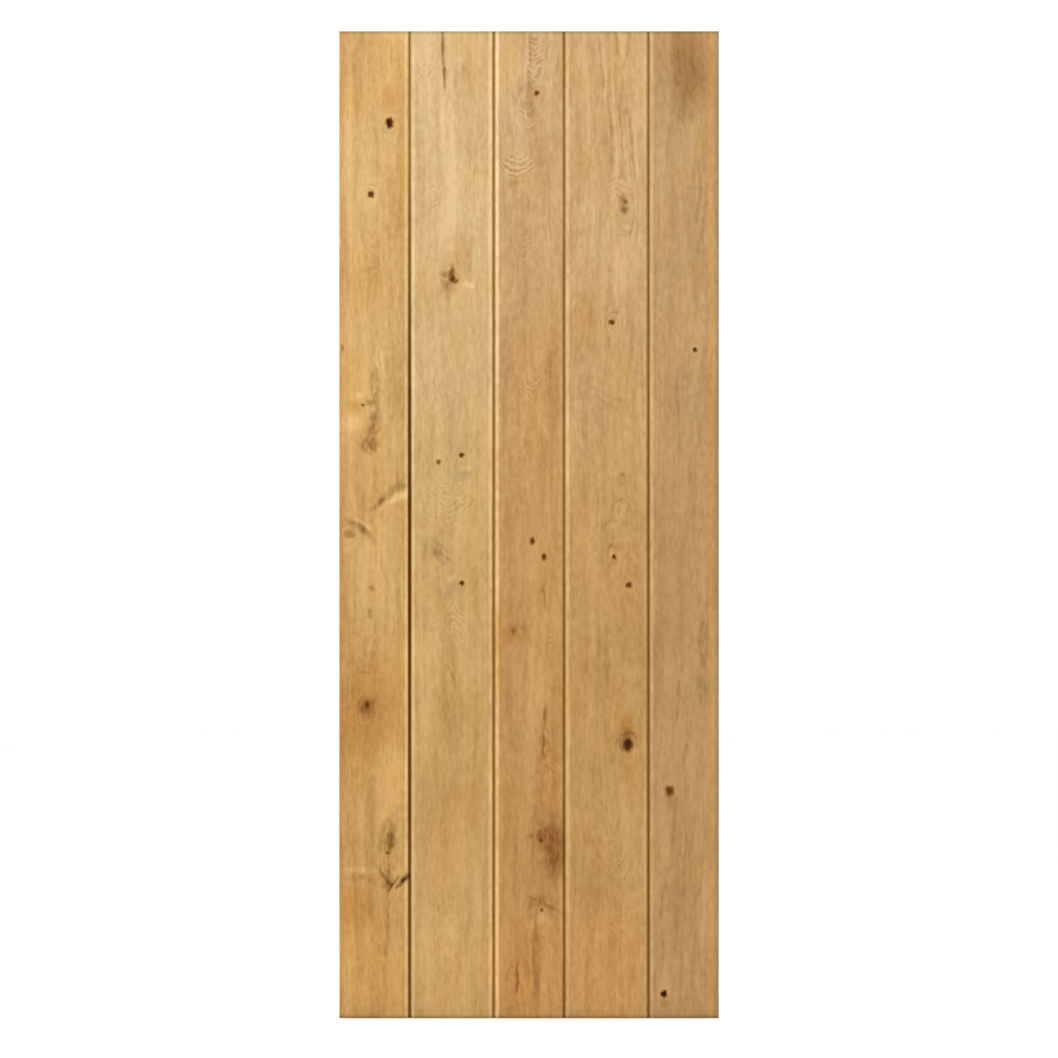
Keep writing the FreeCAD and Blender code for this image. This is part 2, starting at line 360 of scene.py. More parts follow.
def board_features(left, right, splits):
    """All that is painted on a board's face."""
    tables = (KNOTS, STREAKS, PATCHES, SMEARS, CHEVRONS, SWIRLS)
    on_face = ([feature for feature in map(on_door, table) if left < feature.x < right] for table in tables)
    features = Features(*on_face)
    for split in splits:
        features.streaks.extend(split_streaks(split))
    return features


# Shader arithmetic

class Field:
    """A number or vector that varies over a surface. Arithmetic on it adds the nodes that work it out."""

    def __init__(self, socket):
        self.socket = socket
        self.tree = socket.id_data

    def math(self, operation, *others):
        node = add_node(self.tree, "Math", self, *others, operation=operation)
        return Field(node.outputs["Value"])

    def vector_math(self, operation, *others):
        node = add_node(self.tree, "VectorMath", self, *others, operation=operation)
        is_number = operation in ("LENGTH", "DOT_PRODUCT")
        return Field(node.outputs["Value" if is_number else "Vector"])

    __add__ = partialmethod(math, "ADD")
    __sub__ = partialmethod(math, "SUBTRACT")
    __mul__ = partialmethod(math, "MULTIPLY")
    __truediv__ = partialmethod(math, "DIVIDE")
    __pow__ = partialmethod(math, "POWER")

    def ramp(self, start, end, low=0.0, high=1.0):
        """Goes smoothly from low to high as this goes from start to end, and stays level beyond them."""
        values = (self, start, end, low, high)
        node = add_node(self.tree, "MapRange", *values, interpolation_type="SMOOTHSTEP")
        return Field(node.outputs["Result"])

    def parts(self):
        return [Field(socket) for socket in add_node(self.tree, "SeparateXYZ", self).outputs]


def add_node(tree, kind, *values, **settings):
    """A new node of a kind, with values for its first sockets in order."""
    node = tree.nodes.new("ShaderNode" + kind)
    for name, value in settings.items():
        setattr(node, name, value)
    for socket, value in zip(node.inputs, values):
        feed(socket, value)
    return node


def feed(socket, value):
    """Gives a socket a field, or a plain number, vector or colour."""
    if isinstance(value, Field):
        socket.id_data.links.new(value.socket, socket)
    elif socket.type == "RGBA":
        socket.default_value = (*value, 1.0)
    else:
        socket.default_value = value


def vector(x, y, z):
    return Field(add_node(x.tree, "CombineXYZ", x, y, z).outputs["Vector"])


def blend(factor, colour, other, how="MIX"):
    node = add_node(factor.tree, "Mix", data_type="RGBA", blend_type=how)
    feed(node.inputs["Factor"], factor)
    colours = [socket for socket in node.inputs if socket.type == "RGBA"]
    feed(colours[0], colour)
    feed(colours[1], other)
    return Field(next(socket for socket in node.outputs if socket.type == "RGBA"))


def tinted(colour, cover, tint):
    """A colour multiplied by a tint, as far as the cover goes."""
    return blend(cover, colour, tint, "MULTIPLY")


# The oak's irregularities. Each is a noise with marks of a size across the grain and a size along it, in
# millimetres, a seed and a fineness. Its weight is how strongly it acts.
Noise = namedtuple("Noise", "across along seed detail weight", defaults=[1.0])
SEED_SHIFT = (17.3, 5.1, 9.7)
SWAY = Noise(260, 420, 0.5, 1.0, 44)
WANDER = Noise(110, 480, 0.0, 2.0, 26)
RING_WIDTHS = Noise(22, 2000, 0.2, 1.0, 3)
BROAD = Noise(52, 560, 0.3, 2.0, 1.2)
WIDE_BANDS = Noise(20, 240, 0.6, 2.0, 1.0)
BANDS = Noise(7.5, 130, 0.7, 2.0, 0.75)
MOTTLE = Noise(9, 24, 1.5, 2.0, 0.7)
CLOUDS = Noise(70, 120, 1.9, 2.0, 0.7)
FLECKS = Noise(6.4, 14, 1.3, 0.3, 0.75)
FIBRES = Noise(2.2, 40, 0.9, 2.0, 0.06)
PORES = Noise(0.5, 9, 1.1, 1.0, 0.12)
HUE = Noise(34, 190, 1.7, 2.0)
LINE_DRIFT = Noise(22, 26, 2.3, 1.0, 16)

# The noises that move the features' outlines about, one for each direction, and how far each outline moves
Moved = namedtuple("Moved", "ragged torn wavy loose")
COARSE = [Noise(5, 9, seed, 2.0) for seed in (3.1, 7.7, 5.3)]
BENT = [Noise(24, 34, seed, 1.0) for seed in (2.3, 6.1, 8.9)]
RAGGED_REACH = (5, 5, 5)
TORN_REACH = (11, 11, 11)
WAVY_REACH = (10, 0, 10)
LOOSE_REACH = (16, 0, 40)


def noise(place, kind, seed=0.0):
    """Noise of a kind, from 0 to 1."""
    node = add_node(place.tree, "TexNoise")
    sizes = (1 / kind.across, 1 / kind.across, 1 / kind.along)
    shift = tuple(way * (seed + kind.seed) for way in SEED_SHIFT)
    feed(node.inputs["Vector"], place.vector_math("MULTIPLY_ADD", sizes, shift))
    feed(node.inputs["Scale"], 1.0)
    feed(node.inputs["Detail"], kind.detail)
    return Field(node.outputs["Fac"])


def swing(place, kind, seed):
    """Noise of a kind either side of nought, as strong as its weight."""
    return (noise(place, kind, seed) - 0.5) * kind.weight


def mostly(field, share):
    """A field from 0 to 1 that takes off no more than a share."""
    return field * share + (1 - share)


def pushed(place, push, reach):
    """A place moved half the reach either way by a push from 0 to 1."""
    back = tuple(-size / 2 for size in reach)
    return place.vector_math("ADD", push.vector_math("MULTIPLY_ADD", reach, back))


def moved_places(place, layers):
    """Places as the features see them, moved about so that outlines are uneven."""
    coarse = vector(*(noise(place, kind) for kind in COARSE))
    bent = vector(*(noise(place, kind) for kind in BENT))
    drift = vector(layers[BANDS], layers[FIBRES], layers[BROAD])
    ragged = pushed(place, coarse, RAGGED_REACH)
    torn = pushed(place, coarse, TORN_REACH)
    wavy = pushed(ragged, bent, WAVY_REACH)
    loose = pushed(ragged, drift, LOOSE_REACH)
    return Moved(ragged, torn, wavy, loose)


# The oak's grain

RING_SPACING = 5.5
GRAIN_STRETCH = 0.38
KNOT_SWEEP = 1.5
EARLY_WOOD_WEIGHT = 0.14
TONE_LEVEL = 0.42

# The nested growth lines: how far the mottle shakes them, and how clear they are where it is dark and pale
LINE_SHAKE = 3
LINE_CLARITY = (0.35, 0.60, 0.35, 1.2)

# The hue's noise where each tint begins and is full
HUE_TINTS = [(0.48, 0.72, (1.00, 0.945, 0.81)), (0.52, 0.30, (0.99, 1.005, 0.98))]

# Pores: the noise where they begin and are full, and the share of them that only the early wood has
PORE_FADE = (0.58, 0.70)
PORE_TINT = (0.45, 0.36, 0.28)
PORE_EARLY_SHARE = 0.7

# The heights where the tint of a board's foot begins and is full, and how far they wander
FOOT_TINT_TOP = 1750.0
FOOT_TINT_FULL = 650.0
FOOT_TINT_WANDER = 600

# End grain: how square to the grain a surface is where it begins and is full, and the share of its tint that
# only the early wood has
END_GRAIN_FADE = (0.30, 0.85)
END_GRAIN_TINT = (0.44, 0.36, 0.25)
END_GRAIN_EARLY_SHARE = 0.4

ROUGHNESS = 0.48
ROUGHNESS_SPREAD = 0.25
SPECULAR_LEVEL = 0.1
BUMP_STRENGTH = 0.25
BUMP_DEPTH = 0.4
FIBRE_RELIEF = 0.5
PORE_RELIEF = 0.8
EARLY_WOOD_RELIEF = 0.2


def grain_across(x, y, place, knots, seed):
    """Where a point lies across the grain, which sways along the piece and sweeps round its knots."""
    across = x + swing(place, SWAY, seed)
    for knot in knots:
        size = KNOT_SWEEP * knot.width / 2
        aside = x - knot.x
        along = (y - knot.y) * GRAIN_STRETCH
        nearness = (aside * aside + along * along).math("MAXIMUM", size * size)
        across = across - aside * size * size / nearness
    return across


def ring_depth(across, behind, along, place, grain):
    """Distance out from the tree's heart, with the drift and wander that make the cathedral figure."""
    aside = across - grain.heart_x
    inwards = behind - grain.heart_y
    out = (aside * aside + inwards * inwards).math("SQRT")
    return out + along * grain.drift + swing(place, WANDER, grain.seed)


def early_wood(depth, swept, seed):
    """The open early wood at the start of each ring, from 1 down to 0 across the ring."""
    widths = noise(swept, RING_WIDTHS, seed) * RING_WIDTHS.weight
    ring = (depth / RING_SPACING + widths).math("FRACT")
    return (ring * -1 + 1) ** 2


def grain_layers(place, swept, seed):
    """The noises that make up the grain's tone, by kind. All but the clouds follow the grain."""
    layers = {kind: noise(swept, kind, seed) for kind in (BROAD, WIDE_BANDS, BANDS, MOTTLE, FLECKS, FIBRES)}
    layers[CLOUDS] = noise(place, CLOUDS, seed)
    return layers


def grain_tone(layers, early):
    """How far the wood's colour is from its pale tone to its deep one."""
    tone = early * EARLY_WOOD_WEIGHT + TONE_LEVEL
    for kind, layer in layers.items():
        tone = tone + (layer - 0.5) * kind.weight
    return tone


def wood_colour(tone, hue, pore, height, grain):
    """The colour of the wood without its features."""
    colour = blend(tone, grain.pale, grain.deep)
    for start, full, tint in HUE_TINTS:
        colour = tinted(colour, hue.ramp(start, full), tint)
    colour = tinted(colour, pore * PORES.weight, PORE_TINT)
    return tinted(colour, height.ramp(FOOT_TINT_TOP, FOOT_TINT_FULL), grain.foot)


# The oak's features. Each fades between two distances out from its middle, in shares of its half width: where
# it begins to show and where it is full.

PATCH_FADE = (1.1, 0.35)
SMEAR_FADE = (1.2, 0.1)
STREAK_FADE = (1.4, 0.1)
CHEVRON_FADE = (1.0, 0.3)
SWIRL_FADE = (1.0, 0.5)
KNOT_FADE = (1.2, 0.8)
KNOT_RIM_FADE = (0.35, 0.85)
HALO_FULL = 0.9
PALE_RING_OUTER_FADE = (2.8, 1.9)
PALE_RING_INNER_FADE = (1.2, 1.7)

# A chevron's width for each unit of its point's radius, and the share of a streak that the grain can break
CHEVRON_POINT = 20
STREAK_BREAKAGE = 0.6

# The mottle where a feature is broken right through and where it is whole
BREAKS_FADE = (0.30, 0.58)


def ellipse(place, spot):
    """How far out a point lies from a spot's middle: 1 on its outline."""
    from_middle = place.vector_math("SUBTRACT", (spot.x, 0.0, spot.y))
    sizes = (2 / spot.width, 0.0, 2 / spot.height)
    return from_middle.vector_math("MULTIPLY", sizes).vector_math("LENGTH")


def chevron_lines(place, chevron, unevenness):
    """Nested lines with a rounded point, unevenly spaced, strongest in the middle of the chevron's oval."""
    x, _, y = place.vector_math("SUBTRACT", (chevron.x, 0.0, chevron.y)).parts()
    roundness = chevron.width / CHEVRON_POINT
    aside = (x * x + roundness * roundness).math("SQRT")
    turns = (y - aside * chevron.slope) * (2 * math.pi / chevron.spacing) + unevenness
    return turns.math("SINE") * ellipse(place, chevron).ramp(*CHEVRON_FADE, 0.0, chevron.strength)


def swirl_lines(place, swirl, unevenness):
    """Nested ovals, unevenly spaced, that die away outwards."""
    out = ellipse(place, swirl)
    turns = out * (2 * math.pi * swirl.rings) + unevenness
    return turns.math("COSINE") * out.ramp(*SWIRL_FADE, 0.0, swirl.strength)


def with_growth_lines(tone, place, ragged, mottle, features, seed):
    """The tone with the lines of the chevrons and swirls in it."""
    unevenness = swing(place, LINE_DRIFT, seed) + (mottle - 0.5) * LINE_SHAKE
    clarity = mottle.ramp(*LINE_CLARITY)
    for chevron in features.chevrons:
        tone = tone - chevron_lines(ragged, chevron, unevenness) * clarity
    for swirl in features.swirls:
        tone = tone - swirl_lines(ragged, swirl, unevenness) * clarity
    return tone


def paint_knot(colour, place, knot, breaks):
    kind = KNOT_KINDS[knot.kind]
    out = ellipse(place, knot)
    ring = out.ramp(*PALE_RING_OUTER_FADE) * out.ramp(*PALE_RING_INNER_FADE) * breaks * kind.ring
    colour = tinted(colour, ring, TINTS["pale"])
    colour = tinted(colour, out.ramp(kind.reach, HALO_FULL), kind.halo)
    knot_colour = blend(out.ramp(*KNOT_RIM_FADE), kind.middle, kind.rim)
    return blend(out.ramp(*KNOT_FADE), colour, knot_colour)


def paint_patch(colour, place, patch):
    cover = ellipse(place, patch).ramp(*PATCH_FADE, 0.0, patch.strength)
    return tinted(colour, cover, TINTS[patch.tint])


def paint_smear(colour, place, smear, breaks):
    cover = ellipse(place, smear).ramp(*SMEAR_FADE, 0.0, smear.strength) * breaks
    return tinted(colour, cover, TINTS[smear.tint])


def paint_streak(colour, place, streak, breaks):
    """A streak that is widest in its middle, dies away at both ends and is broken by the grain."""
    run = Vector((streak.to_x - streak.x, streak.to_y - streak.y))
    direction = run.normalized()
    from_middle = place.vector_math("SUBTRACT", (streak.x + run.x / 2, 0.0, streak.y + run.y / 2))
    x, _, y = from_middle.parts()
    along = (x * direction.x + y * direction.y) / (run.length / 2 + streak.width)
    aside = (x * -direction.y + y * direction.x) / (streak.width / 2)
    out = (aside * aside + along ** 4).math("SQRT")
    cover = out.ramp(*STREAK_FADE) * mostly(breaks, STREAK_BREAKAGE)
    return tinted(colour, cover, TINTS[streak.tint])


def paint_features(colour, moved, layers, features):
    """The colour with all the features on it, the knots on top."""
    breaks = layers[MOTTLE].ramp(*BREAKS_FADE) * (layers[FLECKS] + 0.5)
    for patch in features.patches:
        colour = paint_patch(colour, moved.loose, patch)
    for smear in features.smears:
        colour = paint_smear(colour, moved.loose, smear, breaks)
    for streak in features.streaks:
        colour = paint_streak(colour, moved.wavy, streak, breaks)
    for knot in features.knots:
        colour = paint_knot(colour, moved.torn, knot, breaks)
    return colour


# The edges of the boards

# The joints between boards: how far the V is darkened by painted shade and stain at the door's head, halfway
# up and at its foot, and how far the arrises before and after it take a painted highlight
Joint = namedtuple("Joint", "head middle foot wear_before wear_after")
JOINTS = [
    Joint(0.30, 0.95, 0.70, 0.45, 0.42),
    Joint(0.40, 0.38, 0.40, 0.50, 1.00),
    Joint(0.18, 0.20, 0.32, 0.08, 0.50),
    Joint(0.15, 0.34, 0.34, 0.14, 0.45),
]

# The edges of a board's face, with the joint there, or none at the door's own edges
Edges = namedtuple("Edges", "left right left_joint right_joint")

# A painted highlight on the arrises beside the joints: its tint, the distances in from the edge where it
# begins and is full, and how far the grain's bands vary it
PAINTED_ARRIS_HIGHLIGHT = (1.62, 1.84, 2.40)
ARRIS_HIGHLIGHT_FADE = (6.5, 1.5)
ARRIS_HIGHLIGHT_SPREAD = 0.8
ARRIS_HIGHLIGHT_LEAST = 0.5

# The V of a joint, darkened by painted shade and by a stain of finish pooled there: its shade tint and its
# shade and stain, the distances in from the edge where it begins and is full, and the depths below the face
# for the same
V_SHADE_TINT = (0.96, 0.88, 0.60)
V_SHADE_AND_STAIN = (0.22, 0.13, 0.02)
V_FADE = (0.7, -0.4)
V_DEPTH_FADE = (0.0, 2.6)

# Darkening along the door's head and foot
END_DARKENING = (0.68, 0.73, 0.69)
END_DARKENING_FADE = (8.0, 2.0)

# The door's own upright edges: the tint that darkens the face along the edge and how far in it reaches, and
# the tint of the golden strip beside it and how far in that begins and ends. Along the latch edge, the side
# away from the light, the darkening is painted shade.
DoorEdge = namedtuple("DoorEdge", "grime reach strip strip_start strip_end")
HINGE_EDGE = DoorEdge((0.95, 0.89, 0.74), 8.0, (1.05, 1.03, 1.00), 9.0, 22.0)
# The latch edge's darkening is painted shade, on the side away from the light
LATCH_EDGE = DoorEdge((0.80, 0.85, 0.84), 6.5, (1.09, 1.04, 0.89), 7.5, 17.0)
EDGE_DARKENING_FULL = 1.0
EDGE_DARKENING_DEPTH_FADE = (8.0, 3.0)
STRIP_BLUR = 2


def paint_door_edge(colour, inside, depth, edge):
    """Darkening along one of the door's own upright edges, painted shade on the latch one, and the golden
    strip beside it.
    """
    # Darkening along the edge, which on the latch edge is painted shade
    grime = inside.ramp(edge.reach, EDGE_DARKENING_FULL) * depth.ramp(*EDGE_DARKENING_DEPTH_FADE)
    colour = tinted(colour, grime, edge.grime)
    after_start = inside.ramp(edge.strip_start - STRIP_BLUR, edge.strip_start + STRIP_BLUR)
    before_end = inside.ramp(edge.strip_end + STRIP_BLUR, edge.strip_end - STRIP_BLUR)
    return tinted(colour, after_start * before_end, edge.strip)


def paint_joint(colour, inside, depth, height, bands, joint, wear):
    """The painted highlight on the arris and the painted shade and stain in the V at a joint, on one side of
    it.
    """
    # A painted highlight along the arris beside the joint
    highlit = inside.ramp(*ARRIS_HIGHLIGHT_FADE) * (bands * ARRIS_HIGHLIGHT_SPREAD + ARRIS_HIGHLIGHT_LEAST) * wear
    colour = tinted(colour, highlit, PAINTED_ARRIS_HIGHLIGHT)
    lower = height.ramp(0.0, DOOR_HEIGHT / 2, joint.foot, joint.middle)
    upper = height.ramp(DOOR_HEIGHT / 2, DOOR_HEIGHT, 0.0, joint.head - joint.middle)
    # Painted shade and stain in the V, strongest deeper in it
    in_joint = inside.ramp(*V_FADE) * depth.ramp(*V_DEPTH_FADE)
    colour = tinted(colour, in_joint, V_SHADE_TINT)
    return tinted(colour, in_joint * (lower + upper), V_SHADE_AND_STAIN)


def paint_edges(colour, door_place, bands, end_grain, edges):
    """The joints or the door's own edges on both sides of a board, and darkening along its ends."""
    x, y, z = door_place.parts()
    depth = y.math("ABSOLUTE") * -1 + abs(FACE)
    from_left = x - edges.left
    from_right = x * -1 + edges.right
    if edges.left_joint:
        wear = edges.left_joint.wear_after
        colour = paint_joint(colour, from_left, depth, z, bands, edges.left_joint, wear)
    else:
        colour = paint_door_edge(colour, from_left, depth, HINGE_EDGE)
    if edges.right_joint:
        wear = edges.right_joint.wear_before
        colour = paint_joint(colour, from_right, depth, z, bands, edges.right_joint, wear)
    else:
        colour = paint_door_edge(colour, from_right, depth, LATCH_EDGE)
    from_end = z.math("MINIMUM", z * -1 + DOOR_HEIGHT)
    grime = from_end.ramp(*END_DARKENING_FADE) * end_grain.ramp(1.0, 0.0)
    return tinted(colour, grime, END_DARKENING)


# The oak as a whole

def door_places(tree):
    """Places on the door, in millimetres."""
    metres = Field(add_node(tree, "TexCoord").outputs["Object"])
    return metres.vector_math("MULTIPLY", (1 / MM, 1 / MM, 1 / MM))


def turned_upright(place, middle, direction):
    """Places as seen from a piece's middle, with the piece's direction turned upright."""
    turn = add_node(place.tree, "VectorRotate", rotation_type="Y_AXIS")
    feed(turn.inputs["Vector"], place.vector_math("SUBTRACT", middle))
    feed(turn.inputs["Angle"], -math.atan2(direction.x, direction.z))
    return Field(turn.outputs["Vector"])


def end_grain_cover(tree, direction):
    """1 where a surface lies square across the grain, and 0 along it."""
    normal = Field(add_node(tree, "NewGeometry").outputs["Normal"])
    facing = normal.vector_math("DOT_PRODUCT", tuple(direction)).math("ABSOLUTE")
    return facing.ramp(*END_GRAIN_FADE)


def finish_surface(shader, colour, roughness, relief):
    """Gives the shader its colour, an oiled sheen and the relief of the fibres and pores."""
    feed(shader.inputs["Base Color"], colour)
    feed(shader.inputs["Roughness"], roughness)
    shader.inputs["Specular IOR Level"].default_value = SPECULAR_LEVEL
    bump = add_node(colour.tree, "Bump")
    bump.inputs["Strength"].default_value = BUMP_STRENGTH
    bump.inputs["Distance"].default_value = BUMP_DEPTH * MM
    feed(bump.inputs["Height"], relief)
    feed(shader.inputs["Normal"], Field(bump.outputs["Normal"]))


def oak(name, grain, middle, direction, features, edges=None):
    """Oiled oak whose grain runs along a direction through a middle point, in millimetres."""
    material = bpy.data.materials.new(name)
    material.use_nodes = True
    tree = material.node_tree
    door_place = door_places(tree)
    place = turned_upright(door_place, middle, direction)

    x, behind, along = place.parts()
    across = grain_across(x, along, place, features.knots, grain.seed)
    swept = vector(across, behind, along)
    early = early_wood(ring_depth(across, behind, along, place, grain), swept, grain.seed)
    layers = grain_layers(place, swept, grain.seed)
    moved = moved_places(place, layers)
    tone = grain_tone(layers, early)
    tone = with_growth_lines(tone, place, moved.ragged, layers[MOTTLE], features, grain.seed)

    hue = noise(swept, HUE, grain.seed)
    pore = noise(swept, PORES, grain.seed).ramp(*PORE_FADE) * mostly(early, PORE_EARLY_SHARE)
    height = along + (layers[BROAD] - 0.5) * FOOT_TINT_WANDER
    colour = wood_colour(tone, hue, pore, height, grain)
    colour = paint_features(colour, moved, layers, features)
    end_grain = end_grain_cover(tree, direction)
    colour = tinted(colour, end_grain * mostly(early, END_GRAIN_EARLY_SHARE), END_GRAIN_TINT)
    if edges:
        colour = paint_edges(colour, door_place, layers[BANDS], end_grain, edges)

    roughness = layers[BANDS] * ROUGHNESS_SPREAD + ROUGHNESS
    relief = layers[FIBRES] * FIBRE_RELIEF - pore * PORE_RELIEF + early * EARLY_WOOD_RELIEF
    finish_surface(tree.nodes["Principled BSDF"], colour, roughness, relief)
    return material


# Board meshes

ARRIS_RADIUS = 0.9
ARRIS_ROOM = 3 * ARRIS_RADIUS
ARRIS_STEPS = 3
END_EASING = 1.6
SHARP_ANGLE = math.radians(38)
FACING_DOWN = -0.9

# How far apart the mesh's points are: up the board, across its face, round its sides and back, and in
# hollows. The fine mesh of a knot's hollow reaches this share of the knot's size from its middle.
ROW_STEP = 24.0
COLUMN_STEP = 9.0
SIDE_STEP = 30.0
HOLLOW_STEP = 0.9
HOLLOW_REACH = 0.62

# The heights of the rows within a board's eased end, and the gap between the parts of its map
END_ROWS = (0.0, 0.25, 0.7)
MAP_GAP = 6.0

# Where a hollow's depth begins to fade and is gone, in half widths out from its middle. A knot's outline has
# waves and ripples: how many go round it, and their share of its radius.
KNOT_HOLLOW_FADE = (0.35, 1.05)
SPLIT_HOLLOW_FADE = (0.1, 1.1)
KNOT_WAVES = 3
KNOT_WAVE_SHARE = 0.12
KNOT_RIPPLES = 7
KNOT_RIPPLE_SHARE = 0.07


def outline_of(node):
    """The cross-section of a CAD board, in order and anticlockwise from above, in millimetres."""
    mesh = bmesh.new()
    mesh.from_mesh(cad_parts[node].data)
    bmesh.ops.remove_doubles(mesh, verts=mesh.verts, dist=TOUCH * MM)
    foot = {face for face in mesh.faces if face.normal.z < FACING_DOWN}
    rim = [edge for edge in mesh.edges if sum(face in foot for face in edge.link_faces) == 1]
    ways = {}
    for edge in rim:
        face = next(face for face in edge.link_faces if face in foot)
        start = next(loop for loop in face.loops if loop.edge == edge)
        ways[start.link_loop_next.vert] = start.vert
    corner = next(iter(ways))
    outline = []
    for _ in ways:
        outline.append((corner.co.x / MM, corner.co.y / MM))
        corner = ways[corner]
    mesh.free()
    return outline


def rounded_corner(before, corner, after):
    """Points of the curve that takes a corner's place."""
    back = before - corner
    ahead = after - corner
    start = corner + back / np.linalg.norm(back) * ARRIS_RADIUS
    end = corner + ahead / np.linalg.norm(ahead) * ARRIS_RADIUS
    steps = np.linspace(0, 1, ARRIS_STEPS + 1)
    return [start * (1 - step) ** 2 + corner * 2 * step * (1 - step) + end * step ** 2 for step in steps]


def with_soft_arrises(outline):
    """The outline with its corners on the face and the back rounded a little."""
    softened = []
    for points in zip(outline[-1:] + outline[:-1], outline, outline[1:] + outline[:1]):
        before, corner, after = (np.array(point) for point in points)
        room = min(np.linalg.norm(before - corner), np.linalg.norm(after - corner))
        is_arris = abs(abs(corner[1]) - abs(FACE)) < TOUCH
        if is_arris and room >= ARRIS_ROOM:
            softened.extend(tuple(point) for point in rounded_corner(before, corner, after))
        else:
            softened.append(tuple(corner))
    return softened


def stations(start, end, step, spots):
    """Places from start to end, a step apart, and closer within each spot's half width of its middle."""
    places = list(np.linspace(start, end, max(2, round((end - start) / step) + 1)))
    for middle, half in spots:
        fine = np.arange(middle - half, middle + half + HOLLOW_STEP, HOLLOW_STEP)
        places.extend(place for place in fine if start < place < end)
    places.sort()
    kept = [start]
    for place in places:
        if place - kept[-1] > HOLLOW_STEP / 2 and end - place > HOLLOW_STEP / 2:
            kept.append(place)
    return kept + [end]


def fine_spots(hollows, splits):
    """The middle and half width of each hollow across the board, and the same up the board."""
    across = [(knot.x, HOLLOW_REACH * knot.width) for knot in hollows]
    up = [(knot.y, HOLLOW_REACH * knot.height) for knot in hollows]
    for split in splits:
        xs, zs, widths = zip(*split.route)
        across.append(((min(xs) + max(xs)) / 2, (max(xs) - min(xs)) / 2 + max(widths)))
        up.append(((min(zs) + max(zs)) / 2, (max(zs) - min(zs)) / 2 + max(widths)))
    return across, up


def section_points(outline, spots):
    """The outline with points added along its sides, and more of them on the face at the spots."""
    section = []
    for start, end in zip(outline, outline[1:] + outline[:1]):
        length = math.dist(start, end)
        is_on_face = all(abs(y - FACE) < TOUCH for _, y in (start, end))
        if is_on_face and length > COLUMN_STEP:
            columns = stations(start[0], end[0], COLUMN_STEP, spots)[:-1]
            section.extend((column, FACE) for column in columns)
        else:
            parts = max(1, round(length / SIDE_STEP))
            section.extend(np.linspace(start, end, parts, endpoint=False))
    return np.array(section)


def row_heights(spots):
    """The heights of the rows of points, closer together at the spots and at the board's ends."""
    rows = stations(END_EASING, DOOR_HEIGHT - END_EASING, ROW_STEP, spots)
    return np.array([*END_ROWS, *rows, *(DOOR_HEIGHT - height for height in reversed(END_ROWS))])


def smooth(value, start, end):
    t = np.clip((value - start) / (end - start), 0, 1)
    return t * t * (3 - 2 * t)


def knot_hollow(x, z, knot):
    """How deep a knot's hollow is at points of the face, in millimetres."""
    across = (x - knot.x) / (knot.width / 2)
    up = (z - knot.y) / (knot.height / 2)
    angle = np.arctan2(up, across)
    waves = KNOT_WAVE_SHARE * np.sin(KNOT_WAVES * angle + knot.x)
    ripples = KNOT_RIPPLE_SHARE * np.sin(KNOT_RIPPLES * angle + knot.y)
    out = np.hypot(across, up) / (1 + waves + ripples)
    return KNOT_KINDS[knot.kind].depth * (1 - smooth(out, *KNOT_HOLLOW_FADE))


def split_hollow(x, z, split):
    """How deep a split is at points of the face, in millimetres."""
    depth = np.zeros_like(x)
    for (x0, z0, width0), (x1, z1, width1) in zip(split.route, split.route[1:]):
        run = np.array((x1 - x0, z1 - z0))
        share = ((x - x0) * run[0] + (z - z0) * run[1]) / (run @ run)
        share = np.clip(share, 0, 1)
        half_width = (width0 + (width1 - width0) * share) / 2
        out = np.hypot(x - x0 - share * run[0], z - z0 - share * run[1]) / half_width
        narrowing = np.minimum(1, half_width / (max(width0, width1) / 2))
        depth = np.maximum(depth, split.depth * narrowing * (1 - smooth(out, *SPLIT_HOLLOW_FADE)))
    return depth


def board_points(section, heights, hollows, splits):
    """A board's points, row by row: eased at its ends, and sunk at the knot holes and splits of its face."""
    x, z = np.meshgrid(section[:, 0], heights)
    y = np.tile(section[:, 1], (len(heights), 1))
    is_on_face = np.abs(y - FACE) < TOUCH
    to_end = np.minimum(z, DOOR_HEIGHT - z)
    into_ease = np.clip(END_EASING - to_end, 0, END_EASING)
    ease = END_EASING - np.sqrt(END_EASING ** 2 - into_ease ** 2)
    y = np.sign(y) * np.minimum(np.abs(y), abs(FACE) - ease)
    sunk = np.zeros_like(x)
    for knot in hollows:
        sunk = np.maximum(sunk, knot_hollow(x, z, knot))
    for split in splits:
        sunk = np.maximum(sunk, split_hollow(x, z, split))
    y = np.where(is_on_face, y + sunk, y)
    return np.stack((x, y, z), axis=-1).reshape(-1, 3)


def grid_faces(rows, columns):
    """The faces between rows of points that go round a board, and the two that close its ends."""
    points = np.arange(rows * columns).reshape(rows, columns)
    after = np.roll(points, -1, axis=1)
    sides = np.stack((points[:-1], after[:-1], after[1:], points[1:]), axis=-1)
    return [*sides.reshape(-1, 4).tolist(), points[0, ::-1].tolist(), points[-1].tolist()]


def lay_out_map(mesh, section, heights):
    """The map that the board's looks are baked through: its two halves, unrolled, and its two ends."""
    lengths = np.linalg.norm(np.roll(section, -1, axis=0) - section, axis=1)
    around = np.concatenate(([0], np.cumsum(lengths)))
    cut = int(np.argmin(np.abs(heights - DOOR_HEIGHT / 2)))
    girth = around[-1] + MAP_GAP
    places = []
    for row in range(len(heights) - 1):
        is_upper = row >= cut
        aside = girth if is_upper else 0
        low, high = heights[row:row + 2] - (heights[cut] if is_upper else 0)
        for left, right in zip(around + aside, around[1:] + aside):
            places += [(left, low), (right, low), (right, high), (left, high)]
    for number, points in enumerate((section[::-1], section)):
        aside = 2 * girth + number * (2 * abs(FACE) + MAP_GAP)
        places += [(aside + y - FACE, x - section[:, 0].min()) for x, y in points]
    layer = mesh.uv_layers.new(name="OFBake")
    layer.data.foreach_set("uv", (np.array(places) / np.max(places)).ravel())


